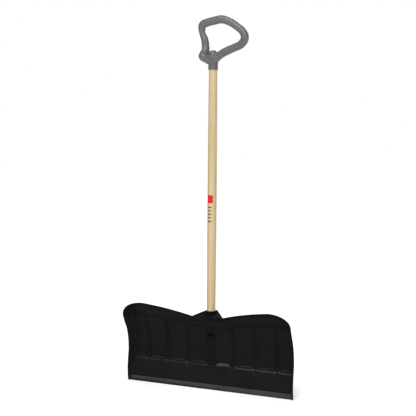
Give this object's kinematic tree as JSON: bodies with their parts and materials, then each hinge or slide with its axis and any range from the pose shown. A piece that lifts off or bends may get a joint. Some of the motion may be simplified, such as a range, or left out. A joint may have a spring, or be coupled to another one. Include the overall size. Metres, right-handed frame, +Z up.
{
  "type": "snow shovel",
  "caption": "Snow pusher: concave moulded blade with side walls and wear strip, wooden shaft in a tent-shaped socket, and an open loop grip.",
  "frame": {"origin": "middle of the wear strip's flat bottom face", "axes": "+Z up along the shaft, +X along the blade's width, +Y to the back; the blade's hollow front faces -Y"},
  "size_m": [0.61, 0.0972, 1.2717],
  "materials": {
    "blade_plastic": "fine satin mould texture",
    "strip_plastic": "matte, lightly scuffed",
    "rivet_metal": "dull dark",
    "shaft_wood": "sanded, thin clear varnish",
    "grip_plastic": "satin",
    "screw_steel": "zinc plated"
  },
  "bodies": {
    "root": {"blade": "blade_plastic", "wear_strip": "strip_plastic", "wear_strip_rivets": "rivet_metal", "shaft": "shaft_wood", "grip": "grip_plastic", "socket_screw": "screw_steel", "grip_screw": "screw_steel"}
  },
  "joints": []
}
